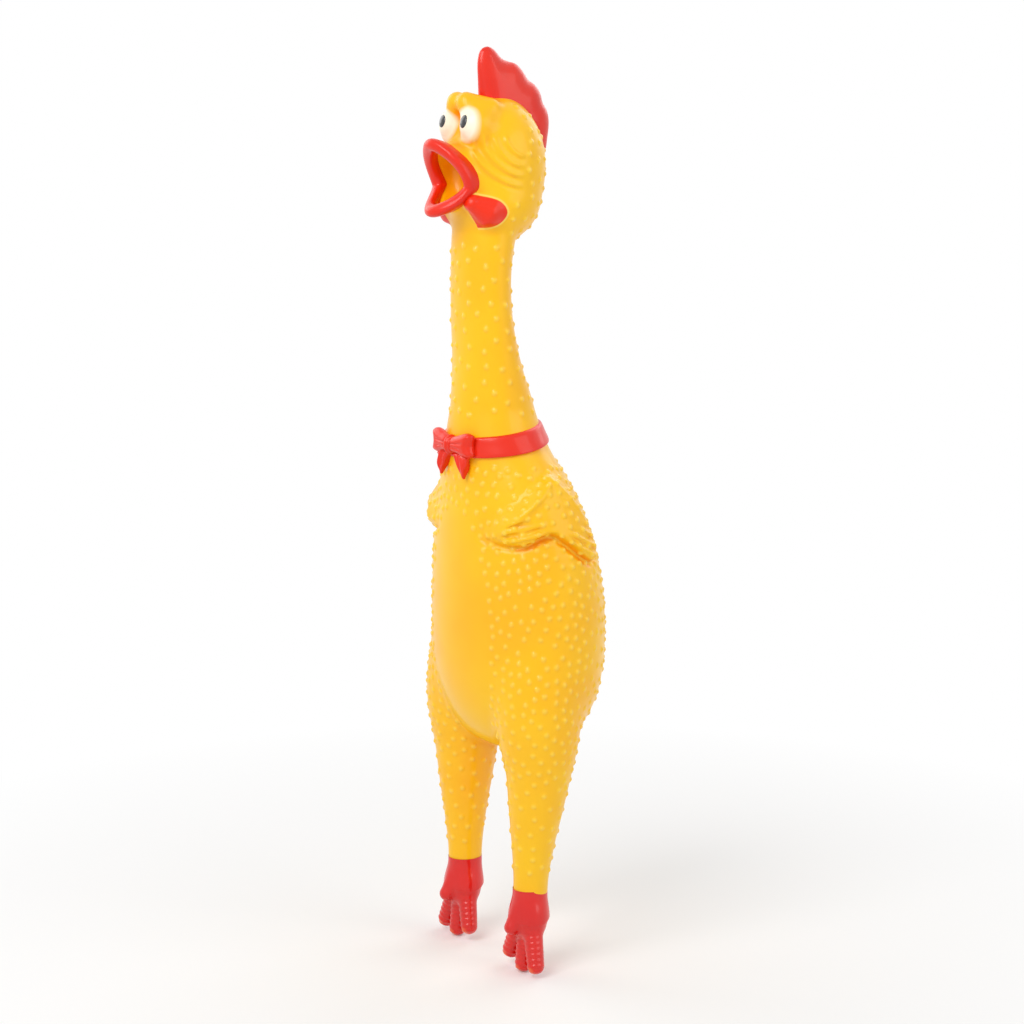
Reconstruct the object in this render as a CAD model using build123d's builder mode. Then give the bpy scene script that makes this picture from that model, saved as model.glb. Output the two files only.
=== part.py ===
"""Squeaky rubber chicken: a hollow soft vinyl moulding, its painted parts and its voice box.

Frame: +Z runs from the feet to the comb, the face looks along -Y and the bird's left is +X.
The origin is in the middle of the body at its widest level, where a hand holds it.
"""

import os

from build123d import *

os.makedirs("parts", exist_ok=True)

# Skin of the moulding
WALL = 2.0
GAP = 0.4

# Heights of the main levels
TOE_TIP_Z = -146.0
COLLAR_Z = 90.0
SKULL_TOP_Z = 234.0
COMB_TOP_Z = 254.0

# Level oval sections: height, half width, half depth, centre x, centre y
TORSO = [
    (-51.5, 12.0, 9.0, 0.0, 2.0),
    (-47.0, 26.0, 18.0, 0.0, 1.5),
    (-37.0, 37.0, 25.5, 0.0, 0.5),
    (-20.0, 44.0, 31.5, 0.0, 0.0),
    (4.0, 46.5, 34.0, 0.0, 0.0),
    (32.0, 45.0, 33.0, 0.0, -1.0),
    (56.0, 40.0, 29.5, 0.0, -4.0),
    (76.0, 31.5, 24.5, 0.0, -8.5),
    (COLLAR_Z, 22.5, 21.0, 0.0, -12.0),
]
NECK = [
    (COLLAR_Z, 20.0, 19.5, 0.0, -12.0),
    (104.0, 19.3, 17.0, 0.0, -13.5),
    (122.0, 18.4, 13.0, 0.0, -16.2),
    (142.0, 17.6, 11.0, 0.0, -18.6),
    (160.0, 17.0, 11.0, 0.0, -18.8),
    (178.0, 16.6, 12.5, 0.0, -17.0),
]
HEAD = [
    (172.0, 15.5, 11.5, 0.0, -17.0),
    (177.0, 18.6, 15.0, 0.0, -16.0),
    (187.0, 20.6, 18.6, 0.0, -13.5),
    (203.0, 21.2, 21.0, 0.0, -11.2),
    (217.0, 19.4, 19.6, 0.0, -10.6),
    (228.0, 14.0, 14.6, 0.0, -10.4),
    (SKULL_TOP_Z, 4.5, 5.0, 0.0, -10.4),
]
LEG = [
    (-36.0, 15.0, 15.5, 30.0, -8.0),
    (-54.0, 13.8, 14.6, 29.8, -8.2),
    (-72.0, 11.6, 12.2, 29.0, -9.2),
    (-90.0, 8.9, 9.4, 28.0, -10.2),
    (-106.0, 7.2, 7.8, 27.2, -10.8),
    (-114.0, 7.1, 7.8, 27.0, -11.0),
]
INSTEP = [
    (-114.0, 7.1, 7.8, 27.0, -11.0),
    (-121.0, 7.8, 8.6, 27.0, -11.4),
    (-129.0, 10.2, 8.8, 27.2, -12.4),
    (-136.0, 11.4, 6.0, 27.3, -13.4),
]

# Places where the soft moulding bends: centre and radius of the rounded joint
NECK_BEND = (0.0, -15.5, 118.0)
NECK_BEND_R = 21.5
NECK_SWAY = (0.0, -18.7, 146.0)
NECK_SWAY_R = 20.5
HEAD_BEND = (0.0, -17.2, 175.0)
HEAD_BEND_R = 22.0
HIP = (30.0, -8.0, -36.0)
HIP_R = 18.0
ANKLE = (27.0, -11.0, -114.0)
ANKLE_R = 9.5

# Squeeze panel at the front of the body
PANEL_HALF_X = 29.0
PANEL_HALF_Z = 38.0
PANEL_Z = 20.0

# Beak: an oval muzzle ring with its tips forward and its corners set back
BEAK_Z = 200.0
BEAK_HALF_X = 14.5
BEAK_HALF_Z = 15.5
BEAK_LIP = 3.6
BEAK_ROOT_Y = -26.0
BEAK_TIP_Y = -45.0
CORNER_SCOOP_R = 17.0
MOUTH_BACK_Y = -22.0

# Face
EYE = (8.2, -24.6, 221.5)
EYE_R = 8.6
PUPIL_HALF_X = 2.2
PUPIL_HALF_Z = 2.9
PUPIL_PROUD = 0.5
BROW_R = 4.6
BROW = (5.6, -24.8, 229.6)
WATTLE = (16.0, -25.0, 185.5)

# Voice box in the throat
VOICE_Z = 200.0
VOICE_R = 7.5
VOICE_LENGTH = 22.0
VOICE_WALL = 1.2
SOUND_HOLE_R = 1.1
REED_THICK = 0.3
REED_WIDTH = 4.0
REED_LENGTH = 9.0


def loft_of(sections, shrink=0.0):
    """Closed solid through the level ovals, drawn in on every side by shrink."""
    low, high = sections[0][0], sections[-1][0]
    squeeze = 1.0 - 2.0 * shrink / (high - low)
    middle = (low + high) / 2.0
    with BuildPart(mode=Mode.PRIVATE) as solid:
        for height, half_x, half_y, x, y in sections:
            level = middle + (height - middle) * squeeze
            with BuildSketch(Plane.XY.offset(level)):
                with Locations((x, y)):
                    Ellipse(half_x - shrink, half_y - shrink)
        loft()
    return solid.part


def ball(centre, radius):
    """Plain ball that bounds a bend of the skin."""
    return Pos(*centre) * Sphere(radius, mode=Mode.PRIVATE)


def tube_of(sections):
    """Skin of one wall thickness through the ovals, open at both ends."""
    low, high = sections[0][0], sections[-1][0]
    with BuildPart(mode=Mode.PRIVATE) as bore:
        for height, half_x, half_y, x, y in sections:
            level = height
            if height == low:
                level = height - 1.0
            if height == high:
                level = height + 1.0
            with BuildSketch(Plane.XY.offset(level)):
                with Locations((x, y)):
                    Ellipse(half_x - WALL, half_y - WALL)
        loft()
    with BuildPart(mode=Mode.PRIVATE) as skin:
        add(loft_of(sections))
        add(bore.part, mode=Mode.SUBTRACT)
    return skin.part


def above(level):
    """Half space over a level, as a large block."""
    return Pos(0, 0, level + 200) * Box(400, 400, 400, mode=Mode.PRIVATE)


def below(level):
    """Half space under a level, as a large block."""
    return Pos(0, 0, level - 200) * Box(400, 400, 400, mode=Mode.PRIVATE)


def mirrored(shape):
    """The same shape on the bird's other side."""
    return mirror(shape, about=Plane.YZ)


def save(shape, name):
    """Labels a finished piece and writes it to its own file."""
    shape.label = name
    export_step(shape, f"parts/{name}.step")


# ---------------------------------------------------------------- body
torso_solid = loft_of(TORSO)
torso_air = loft_of(TORSO, WALL)
neck_solid = loft_of(NECK)
hip_left = ball(HIP, HIP_R + GAP)
# Room under the body's corners for the thighs to swing
POCKET_X, POCKET_Z = 14.6, -28.0
POCKET_SIZE = 100.0
thigh_pocket = Pos(POCKET_X + POCKET_SIZE / 2, 0, POCKET_Z - POCKET_SIZE / 2) * Box(
    POCKET_SIZE, 2 * POCKET_SIZE, POCKET_SIZE
)


def panel_prism(extra):
    """Oval block through the front half of the body, the squeeze panel's outline."""
    with BuildPart(mode=Mode.PRIVATE) as prism:
        with BuildSketch(Plane.XZ):
            with Locations((0, PANEL_Z)):
                Ellipse(PANEL_HALF_X + extra, PANEL_HALF_Z + extra)
        extrude(amount=60)
    return prism.part


with BuildPart() as torso_shell:
    add(torso_solid)
    add(torso_air, mode=Mode.SUBTRACT)
    add(hip_left, mode=Mode.SUBTRACT)
    add(mirrored(hip_left), mode=Mode.SUBTRACT)
    add(thigh_pocket, mode=Mode.SUBTRACT)
    add(mirrored(thigh_pocket), mode=Mode.SUBTRACT)
    add(panel_prism(GAP), mode=Mode.SUBTRACT)
    with BuildSketch(Plane.XY.offset(COLLAR_Z + 1)):
        with Locations((0, NECK[0][4])):
            Ellipse(NECK[0][1] - WALL, NECK[0][2] - WALL)
    extrude(amount=-8, mode=Mode.SUBTRACT)

with BuildPart() as belly_panel:
    add(torso_solid)
    add(torso_air, mode=Mode.SUBTRACT)
    add(panel_prism(0), mode=Mode.INTERSECT)

save(torso_shell.part, "torso_shell")
save(belly_panel.part, "belly_panel")

# Tail: a rounded knob that points down at the back of the rump
TAIL_Y, TAIL_Z = 31.5, -20.0
with BuildPart() as tail_knob:
    with BuildSketch(Plane.XY.offset(TAIL_Z - 8)):
        with Locations((0, TAIL_Y)):
            Ellipse(9, 5.5)
    with BuildSketch(Plane.XY.offset(TAIL_Z)):
        with Locations((0, TAIL_Y)):
            Ellipse(12.5, 7)
    with BuildSketch(Plane.XY.offset(TAIL_Z + 18)):
        with Locations((0, TAIL_Y - 1)):
            Ellipse(9, 3.5)
    loft()
    add(torso_solid, mode=Mode.SUBTRACT)
save(tail_knob.part, "tail_knob")

# Wings: low feathered lobes on the body's sides, 2.4 mm proud of it
WING_PROUD = 2.4
torso_proud = loft_of(TORSO, -WING_PROUD)
with BuildPart() as wing_left:
    with BuildSketch(Plane.YZ.offset(20)):
        with BuildLine():
            Spline((-27, 49), (-20, 65), (1, 77), (14, 61), (20, 44), (18, 36), tangents=[(0.1, 1), (-1, -0.2)])
            Spline((18, 36), (8, 41), (-6, 50), (-18, 45), (-27, 49))
        make_face()
    extrude(amount=60)
    add(torso_proud, mode=Mode.INTERSECT)
    add(torso_solid, mode=Mode.SUBTRACT)
save(wing_left.part, "wing_left")
save(mirrored(wing_left.part), "wing_right")

# ---------------------------------------------------------------- neck
neck_skin = tube_of(NECK)
with BuildPart() as neck_base:
    add(neck_skin)
    add(below(NECK_BEND[2]), mode=Mode.INTERSECT)
    add(ball(NECK_BEND, NECK_BEND_R + GAP), mode=Mode.SUBTRACT)
save(neck_base.part, "neck_base")


def neck_piece(lower, lower_r, upper, upper_r):
    """Skin from one bend's ball up to the hollow that takes the next bend's ball."""
    with BuildPart(mode=Mode.PRIVATE) as reach:
        add(above(lower[2]))
        add(ball(lower, lower_r))
    with BuildPart(mode=Mode.PRIVATE) as piece:
        add(neck_skin)
        add(reach.part, mode=Mode.INTERSECT)
        add(below(upper[2]), mode=Mode.INTERSECT)
        add(ball(upper, upper_r + GAP), mode=Mode.SUBTRACT)
    return piece.part


save(neck_piece(NECK_BEND, NECK_BEND_R, NECK_SWAY, NECK_SWAY_R), "neck_lower")
save(neck_piece(NECK_SWAY, NECK_SWAY_R, HEAD_BEND, HEAD_BEND_R), "neck_upper")

# Ribbon moulded round the foot of the neck, with its bow at the front
RIBBON_TILT = 8.0
RIBBON_HALF_X, RIBBON_HALF_Y = 23.6, 22.6
RIBBON_FLARE = 1.06
ribbon_plane = Plane(origin=(0, -12, 86.5)).rotated((RIBBON_TILT, 0, 0))
with BuildPart() as ribbon_band:
    with BuildSketch(ribbon_plane):
        Ellipse(RIBBON_HALF_X * RIBBON_FLARE, RIBBON_HALF_Y * RIBBON_FLARE)
    with BuildSketch(ribbon_plane.offset(7.6)):
        Ellipse(RIBBON_HALF_X - 1.4, RIBBON_HALF_Y - 1.4)
    loft()
    add(torso_solid, mode=Mode.SUBTRACT)
    add(neck_solid, mode=Mode.SUBTRACT)
save(ribbon_band.part.solids().sort_by(SortBy.VOLUME)[-1], "ribbon_band")

BOW = (0.0, -34.6, 86.5)
under_bow = torso_solid + neck_solid + ribbon_band.part
with BuildPart() as bow_knot:
    with BuildSketch(Plane.XZ.offset(-BOW[1] - 3.0)):
        with Locations((0, BOW[2])):
            RectangleRounded(5.2, 7.6, 2.2)
    extrude(amount=6.0)
    fillet(bow_knot.faces().sort_by(Axis.Y)[0].edges(), 1.2)
    add(under_bow, mode=Mode.SUBTRACT)
save(bow_knot.part, "bow_knot")

with BuildPart() as loop_left:
    with BuildSketch(Plane.XZ.offset(-BOW[1] - 8.0)):
        with BuildLine():
            Spline((2.2, 84.5), (9, 82.6), (14.4, 83.4), (14.8, 90.4), (9, 91.4), (2.2, 88.8))
            Line((2.2, 88.8), (2.2, 84.5))
        make_face()
    extrude(amount=9.6)
    add(under_bow + bow_knot.part, mode=Mode.SUBTRACT)
with BuildPart() as tail_left:
    with BuildSketch(Plane.XZ.offset(-BOW[1] - 8.0)):
        with BuildLine():
            Polyline((2.4, 82.4), (12.4, 81.6), (8.2, 73.6), close=True)
        make_face()
        fillet(vertices(), 1.0)
    extrude(amount=9.0)
    add(under_bow + bow_knot.part + loop_left.part, mode=Mode.SUBTRACT)
loops = Compound(children=[*loop_left.part.solids(), *mirrored(loop_left.part).solids()])
tails = Compound(children=[*tail_left.part.solids(), *mirrored(tail_left.part).solids()])
save(loops, "bow_loops")
save(tails, "bow_tails")

# ---------------------------------------------------------------- head
head_solid = loft_of(HEAD)
head_air = loft_of(HEAD, WALL)
with BuildPart() as throat_reach:
    add(above(HEAD_BEND[2]))
    add(ball(HEAD_BEND, HEAD_BEND_R))
with BuildPart() as throat:
    add(neck_skin)
    add(throat_reach.part, mode=Mode.INTERSECT)


def muzzle_prism(inset, front_y, back_y):
    """Oval block along the mouth's axis, between two depths."""
    with BuildPart(mode=Mode.PRIVATE) as prism:
        with BuildSketch(Plane.XZ.offset(-back_y)):
            with Locations((0, BEAK_Z)):
                Ellipse(BEAK_HALF_X - inset, BEAK_HALF_Z - inset)
        extrude(amount=back_y - front_y)
    return prism.part


# The beak's corners are set back by a scoop across its front
corner_scoop = Pos(0, BEAK_TIP_Y - 7.0, BEAK_Z) * Rot(0, 90, 0) * Cylinder(CORNER_SCOOP_R, 80)
muzzle_outer = muzzle_prism(0, BEAK_TIP_Y, BEAK_ROOT_Y)
muzzle_hollow = muzzle_prism(BEAK_LIP, BEAK_TIP_Y - 1, MOUTH_BACK_Y)

with BuildPart() as beak_ring:
    add(muzzle_outer)
    add(corner_scoop, mode=Mode.SUBTRACT)
    add(muzzle_hollow, mode=Mode.SUBTRACT)
    add(head_solid, mode=Mode.SUBTRACT)

with BuildPart() as beak_upper:
    add(beak_ring.part)
    add(above(BEAK_Z), mode=Mode.INTERSECT)
with BuildPart() as beak_lower:
    add(beak_ring.part)
    add(below(BEAK_Z), mode=Mode.INTERSECT)
save(beak_upper.part, "beak_upper")
save(beak_lower.part, "beak_lower")

# Voice box seat: a round hole in the mouth lining's back wall
voice_axis = Plane(origin=(0, MOUTH_BACK_Y, VOICE_Z), x_dir=(1, 0, 0), z_dir=(0, 1, 0))
with BuildPart() as mouth_lining:
    add(muzzle_prism(BEAK_LIP - WALL, BEAK_TIP_Y, MOUTH_BACK_Y + WALL))
    add(muzzle_hollow, mode=Mode.SUBTRACT)
    add(beak_ring.part, mode=Mode.SUBTRACT)
    add(head_solid, mode=Mode.INTERSECT)
    with BuildSketch(voice_axis.offset(-1)):
        Circle(VOICE_R)
    extrude(amount=WALL + 2, mode=Mode.SUBTRACT)
save(mouth_lining.part.solids().sort_by(SortBy.VOLUME)[-1], "mouth_lining")

with BuildPart() as head_shell:
    add(head_solid)
    add(head_air, mode=Mode.SUBTRACT)
    add(muzzle_prism(BEAK_LIP - WALL, BEAK_TIP_Y - 1, MOUTH_BACK_Y + WALL), mode=Mode.SUBTRACT)
    with BuildSketch(Plane.XY.offset(HEAD[0][0] - 1)):
        with Locations((0, NECK[-1][4])):
            Ellipse(NECK[-1][1] + 0.1, NECK[-1][2] + 0.1)
    extrude(amount=NECK[-1][0] - HEAD[0][0] + 1, mode=Mode.SUBTRACT)
    add(throat.part, mode=Mode.SUBTRACT)
save(head_shell.part.solids().sort_by(SortBy.VOLUME)[-1], "head_shell")
save(throat.part.solids().sort_by(SortBy.VOLUME)[-1], "throat")

# Eyes: white domes with a black oval pupil on each
with BuildPart() as eye_left:
    add(ball(EYE, EYE_R))
    add(head_solid, mode=Mode.SUBTRACT)
    with BuildSketch(Plane.YZ.offset(0.2)):
        Rectangle(400, 600)
    extrude(amount=60, mode=Mode.INTERSECT)
save(eye_left.part.solids().sort_by(SortBy.VOLUME)[-1], "eye_left")
save(mirrored(eye_left.part.solids().sort_by(SortBy.VOLUME)[-1]), "eye_right")
with BuildPart() as pupil_left:
    with BuildSketch(Plane.XZ.offset(-EYE[1])):
        with Locations((EYE[0] - 0.6, EYE[2] + 2.0)):
            Ellipse(PUPIL_HALF_X, PUPIL_HALF_Z)
    extrude(amount=20)
    add(ball(EYE, EYE_R + PUPIL_PROUD), mode=Mode.INTERSECT)
    add(ball(EYE, EYE_R), mode=Mode.SUBTRACT)
save(pupil_left.part, "pupil_left")
save(mirrored(pupil_left.part), "pupil_right")

# Brow: two rounded knobs over the eyes
with BuildPart() as brow_left:
    add(ball(BROW, BROW_R))
    add(head_solid, mode=Mode.SUBTRACT)
    add(ball(EYE, EYE_R + GAP), mode=Mode.SUBTRACT)
brow_pair = Compound(children=[*brow_left.part.solids(), *mirrored(brow_left.part).solids()])
save(brow_pair, "brow")

# Wattles: flat rounded lobes at the cheeks' lower front
with BuildPart() as wattle_left:
    with BuildSketch(Plane.YZ.offset(8)):
        with Locations((WATTLE[1], WATTLE[2])):
            Ellipse(9.0, 6.4)
    extrude(amount=13)
    fillet(wattle_left.faces().sort_by(Axis.X)[-1].edges(), 3.0)
    add(head_solid + mouth_lining.part + beak_ring.part + throat.part, mode=Mode.SUBTRACT)
wattle_solid = wattle_left.part.solids().sort_by(Axis.X)[-1]
save(wattle_solid, "wattle_left")
save(mirrored(wattle_solid), "wattle_right")

# Comb: upright scalloped fin over the skull, thick at its root
COMB_ROOT_THICK = 11.0
COMB_TOP_THICK = 6.0
with BuildPart() as comb_taper:
    with BuildSketch(Plane.XZ.offset(-40)):
        with BuildLine():
            Polyline(
                (-COMB_ROOT_THICK / 2, 200),
                (-COMB_ROOT_THICK / 2, 228),
                (-COMB_TOP_THICK / 2, COMB_TOP_Z + 1),
                (COMB_TOP_THICK / 2, COMB_TOP_Z + 1),
                (COMB_ROOT_THICK / 2, 228),
                (COMB_ROOT_THICK / 2, 200),
                close=True,
            )
        make_face()
    extrude(amount=90)
with BuildPart() as comb:
    with BuildSketch(Plane.YZ):
        with BuildLine():
            comb_front = Spline((-18, 226), (-18.2, 240), (-19.2, 248), (-17, 253.4), (-13, COMB_TOP_Z))
            comb_back = Spline(comb_front @ 1, (-3, 245.6), (5, 240), (11.4, 231.6), (15.2, 224), (14.6, 210.6))
            Polyline(comb_back @ 1, (6, 214), comb_front @ 0)
        make_face()
    extrude(amount=COMB_ROOT_THICK / 2, both=True)
    add(comb_taper.part, mode=Mode.INTERSECT)
    add(head_solid, mode=Mode.SUBTRACT)
save(comb.part.solids().sort_by(SortBy.VOLUME)[-1], "comb")

# ---------------------------------------------------------------- voice box
# A rigid barrel pressed into the mouth lining; air blown through its reed makes the squawk
with BuildPart() as voice_barrel:
    with BuildSketch(voice_axis):
        Circle(VOICE_R)
        Circle(VOICE_R - VOICE_WALL, mode=Mode.SUBTRACT)
    extrude(amount=VOICE_LENGTH)
save(voice_barrel.part, "voice_barrel")

with BuildPart() as voice_grille:
    with BuildSketch(voice_axis):
        Circle(VOICE_R - VOICE_WALL)
        with PolarLocations(3.6, 6):
            Circle(SOUND_HOLE_R, mode=Mode.SUBTRACT)
        Circle(SOUND_HOLE_R, mode=Mode.SUBTRACT)
    extrude(amount=1.6)
save(voice_grille.part, "voice_grille")

with BuildPart() as voice_end_cap:
    with BuildSketch(voice_axis.offset(VOICE_LENGTH)):
        Circle(VOICE_R)
        SlotOverall(7.0, 2.4, mode=Mode.SUBTRACT)
    extrude(amount=1.6)
save(voice_end_cap.part, "voice_end_cap")

# Tone board: half-round tongue with an air groove that the reed lies over
TONGUE_R = 4.4
TONGUE_START, TONGUE_LENGTH = 5.6, 16.4
GROOVE_WIDTH, GROOVE_DEPTH = 2.6, 2.2
with BuildPart() as tone_board:
    with BuildSketch(voice_axis.offset(TONGUE_START)):
        Circle(TONGUE_R)
        with Locations((0, TONGUE_R / 2)):
            Rectangle(4 * TONGUE_R, TONGUE_R, mode=Mode.SUBTRACT)
        with Locations((0, -GROOVE_DEPTH / 2)):
            Rectangle(GROOVE_WIDTH, GROOVE_DEPTH, mode=Mode.SUBTRACT)
    extrude(amount=TONGUE_LENGTH)
save(tone_board.part, "tone_board")

# Wedge that clamps the reed's root on the tone board
WEDGE_LENGTH = 4.0
REED_LIFT = 0.06
WEDGE_START = TONGUE_START + TONGUE_LENGTH - WEDGE_LENGTH
with BuildPart() as reed_wedge:
    with BuildSketch(voice_axis.offset(WEDGE_START)):
        Circle(TONGUE_R)
        with Locations((0, REED_THICK + REED_LIFT - TONGUE_R)):
            Rectangle(4 * TONGUE_R, 2 * TONGUE_R, mode=Mode.SUBTRACT)
    extrude(amount=WEDGE_LENGTH)
save(reed_wedge.part, "reed_wedge")


def reed_part(start, length):
    """Stretch of the thin reed, which lies over the groove in the tone board."""
    with BuildPart(mode=Mode.PRIVATE) as strip:
        with BuildSketch(voice_axis.offset(start)):
            with Locations((0, REED_LIFT / 2 + REED_THICK / 2)):
                Rectangle(REED_WIDTH, REED_THICK)
        extrude(amount=length)
    return strip.part


# The reed's root is held under the wedge, and its free tongue beats against the board
save(reed_part(WEDGE_START, WEDGE_LENGTH), "reed_root")
save(reed_part(WEDGE_START - REED_LENGTH, REED_LENGTH - 0.05), "reed_tongue")

# ---------------------------------------------------------------- legs and feet
leg_solid = loft_of(LEG)
with BuildPart() as leg_air:
    for height, half_x, half_y, x, y in LEG:
        with BuildSketch(Plane.XY.offset(height - 1)):
            with Locations((x, y)):
                Ellipse(half_x - WALL, half_y - WALL)
    loft()
    add(ball(HIP, HIP_R - WALL))
with BuildPart() as leg_left:
    add(ball(HIP, HIP_R))
    add(leg_solid)
    add(leg_air.part, mode=Mode.SUBTRACT)
    add(above(ANKLE[2]), mode=Mode.INTERSECT)
    add(ball(ANKLE, ANKLE_R + GAP), mode=Mode.SUBTRACT)
save(leg_left.part.solids().sort_by(SortBy.VOLUME)[-1], "leg_left")
save(mirrored(leg_left.part.solids().sort_by(SortBy.VOLUME)[-1]), "leg_right")

# Feet: instep, three toes that point down and outwards, and a spur at the front
TOE_R = 4.3
TOE_ROOT_Z = -128.0
TOES = [(-3.4, -8.2, 3.5), (0.2, 0.6, 0.0), (3.6, 9.0, 1.8)]
foot_core = loft_of(INSTEP)
with BuildPart() as ankle_cap:
    add(leg_solid)
    add(ball(ANKLE, ANKLE_R), mode=Mode.INTERSECT)
with BuildPart() as foot_left:
    add(foot_core)
    for root_x, tip_x, tip_lift in TOES:
        root = Vector(ANKLE[0] + root_x, -12.5, TOE_ROOT_Z)
        tip = Vector(ANKLE[0] + tip_x, -14.0, TOE_TIP_Z + TOE_R + tip_lift)
        toe_plane = Plane(origin=root, z_dir=tip - root)
        with BuildSketch(toe_plane):
            Circle(TOE_R + 0.4)
        with BuildSketch(toe_plane.offset((tip - root).length)):
            Circle(TOE_R)
        loft()
        add(ball(tip, TOE_R))
    add(ankle_cap.part)
save(foot_left.part, "foot_left")
save(mirrored(foot_left.part), "foot_right")

SPUR_TOP = (27.0, -18.6, -117.5)
SPUR_TIP = (27.2, -21.0, -125.0)
SPUR_R = 3.6
with BuildPart() as spur_left:
    spur_plane = Plane(origin=SPUR_TOP, z_dir=Vector(*SPUR_TIP) - Vector(*SPUR_TOP))
    with BuildSketch(spur_plane):
        Circle(SPUR_R - 1.2)
    with BuildSketch(spur_plane.offset((Vector(*SPUR_TIP) - Vector(*SPUR_TOP)).length)):
        Circle(SPUR_R)
    loft()
    add(ball(SPUR_TIP, SPUR_R))
    add(foot_left.part, mode=Mode.SUBTRACT)
spur_solid = spur_left.part.solids().sort_by(SortBy.VOLUME)[-1]
save(spur_solid, "spur_left")
save(mirrored(spur_solid), "spur_right")
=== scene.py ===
"""Squeaky rubber chicken: the looks of its moulded skin, painted parts and voice box."""

import math

import bpy
import numpy as np
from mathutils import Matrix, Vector
from mathutils.kdtree import KDTree


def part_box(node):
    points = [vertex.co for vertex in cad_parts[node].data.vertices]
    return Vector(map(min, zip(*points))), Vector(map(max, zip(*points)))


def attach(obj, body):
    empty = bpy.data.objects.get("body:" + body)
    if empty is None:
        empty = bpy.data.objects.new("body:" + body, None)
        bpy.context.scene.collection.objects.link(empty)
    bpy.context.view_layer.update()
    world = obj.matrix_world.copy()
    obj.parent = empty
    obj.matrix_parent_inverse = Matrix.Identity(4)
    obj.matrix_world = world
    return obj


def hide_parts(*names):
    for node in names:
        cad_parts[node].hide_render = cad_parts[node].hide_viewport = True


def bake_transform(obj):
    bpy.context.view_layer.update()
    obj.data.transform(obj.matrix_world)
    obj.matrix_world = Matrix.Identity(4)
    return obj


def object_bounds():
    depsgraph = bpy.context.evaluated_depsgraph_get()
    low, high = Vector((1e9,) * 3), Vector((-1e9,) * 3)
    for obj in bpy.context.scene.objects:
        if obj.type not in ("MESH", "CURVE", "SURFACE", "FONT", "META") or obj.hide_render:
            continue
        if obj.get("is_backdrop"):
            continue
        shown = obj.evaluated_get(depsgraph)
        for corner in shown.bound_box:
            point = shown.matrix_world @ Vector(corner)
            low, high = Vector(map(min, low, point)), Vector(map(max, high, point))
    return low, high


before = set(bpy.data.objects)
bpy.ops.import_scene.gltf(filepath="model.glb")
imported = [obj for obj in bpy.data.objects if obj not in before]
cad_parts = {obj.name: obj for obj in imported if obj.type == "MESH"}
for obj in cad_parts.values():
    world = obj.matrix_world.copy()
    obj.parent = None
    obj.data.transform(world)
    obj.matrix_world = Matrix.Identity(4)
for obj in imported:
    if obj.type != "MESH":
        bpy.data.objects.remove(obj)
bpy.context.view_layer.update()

# ---------------------------------------------------------------- body skin
# The body, neck, head and legs are one hollow moulding of soft yellow vinyl, slush moulded
# in one metal mould. Its outside is worked out here as a distance in millimetres, below
# zero in the solid, from rounded forms that melt into each other.
MM = 0.001
BODY_WIDEST_Z = 5.0
BODY_RISE, BODY_DROP = 95.0, 56.5
BODY_LEAN, LEAN_HEIGHT, LEAN_LIMIT = 12.0, 85.0, 100.0
NECK_LEVELS = [58, 90, 104, 122, 142, 160, 178, 190]
NECK_HALF_X = [14, 20, 19.3, 18.4, 17.6, 17, 16.6, 16.2]
NECK_HALF_Y = [12, 19.5, 17, 13, 11, 11, 12.5, 13]
NECK_Y = [-10, -12, -13.5, -16.2, -18.6, -18.8, -17, -15]
LEG_LEVELS = [-125, -114, -106, -90, -72, -54, -36]
LEG_HALF_X = [7.1, 7.1, 7.2, 8.9, 11.6, 13.8, 15]
LEG_HALF_Y = [7.8, 7.8, 7.8, 9.4, 12.2, 14.6, 15.5]
LEG_X = [27, 27, 27.2, 28, 29, 29.8, 30]
LEG_Y = [-11, -11, -10.8, -10.2, -9.2, -8.2, -8]


def box_mm(node):
    """Lowest and highest corner of a CAD node, in millimetres."""
    low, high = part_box(node)
    return np.array(low) / MM, np.array(high) / MM


def join(a, b, melt):
    """Union of two distances whose meeting line is rounded over a width."""
    near = np.maximum(melt - np.abs(a - b), 0) / melt
    return np.minimum(a, b) - near * near * melt / 4


def meet(a, b, melt):
    """What two solids share, with a rounded edge."""
    return -join(-a, -b, melt)


def ramp(value, start, end):
    """Soft step from 0 at start to 1 at end."""
    t = np.clip((value - start) / (end - start), 0, 1)
    return t * t * (3 - 2 * t)


def oval(p, centre, radii):
    """Distance to an ellipsoid."""
    q = [(a - c) / r for a, c, r in zip(p, centre, radii)]
    reach = np.sqrt(sum(a * a for a in q)) + 1e-6
    slope = np.sqrt(sum((a / r) ** 2 for a, r in zip(q, radii))) + 1e-6
    return reach * (reach - 1) / slope


def curve(level, levels, values):
    """Smooth value at a level, through the values given at a few levels."""
    levels, values = np.array(levels, float), np.array(values, float)
    slopes = np.gradient(values, levels)
    i = np.clip(np.searchsorted(levels, level) - 1, 0, len(levels) - 2)
    span = levels[i + 1] - levels[i]
    t = np.clip((level - levels[i]) / span, 0, 1)
    start = values[i] * (1 + 2 * t) * (1 - t) ** 2 + slopes[i] * span * t * (1 - t) ** 2
    end = values[i + 1] * (3 - 2 * t) * t**2 + slopes[i + 1] * span * (t - 1) * t**2
    return start + end


def stem(x, y, half_x, half_y):
    """Distance to an upright tube of oval section."""
    reach = np.hypot(x / half_x, y / half_y) + 1e-6
    slope = np.hypot(x / half_x**2, y / half_y**2) + 1e-6
    return reach * (reach - 1) / slope


def round_cone(p, start, end, start_r, end_r):
    """Distance to a bar between two balls of unlike size."""
    start, run = np.array(start, float), np.array(end, float) - np.array(start, float)
    off = [a - s for a, s in zip(p, start)]
    t = np.clip(sum(a * b for a, b in zip(off, run)) / (run @ run), 0, 1)
    return np.sqrt(sum((a - t * b) ** 2 for a, b in zip(off, run))) - (start_r + (end_r - start_r) * t)


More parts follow.
